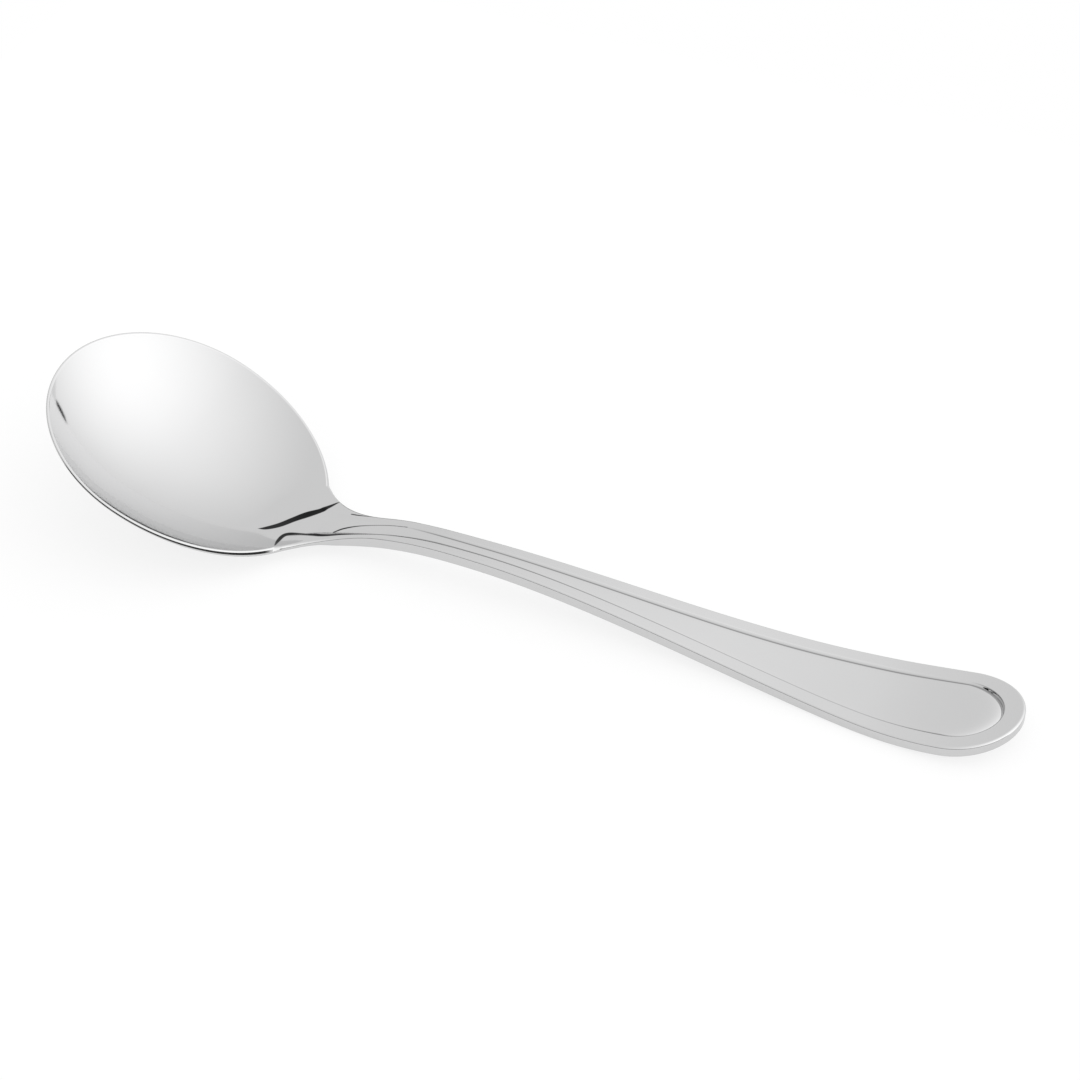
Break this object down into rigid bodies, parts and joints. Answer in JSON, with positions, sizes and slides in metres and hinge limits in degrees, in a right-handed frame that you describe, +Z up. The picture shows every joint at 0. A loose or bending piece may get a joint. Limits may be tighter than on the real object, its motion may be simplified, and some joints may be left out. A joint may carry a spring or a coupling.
{
  "type": "soup spoon",
  "caption": "Round-bowled soup spoon in polished steel: a dished bowl flows through a narrow neck into a bent, paddle-ended handle with a shallow sunk panel, for eating soup.",
  "frame": {"origin": "on the table that the spoon lies on, at the middle of its length and width", "axes": "+X from the bowl's tip to the handle's end, +Z up, the bowl's hollow side facing up"},
  "size_m": [0.175, 0.0462, 0.0234],
  "materials": {
    "steel": "mirror-polished stainless steel with fine polishing lines"
  },
  "bodies": {
    "root": {"bowl": "steel", "neck": "steel", "handle": "steel"}
  },
  "joints": []
}
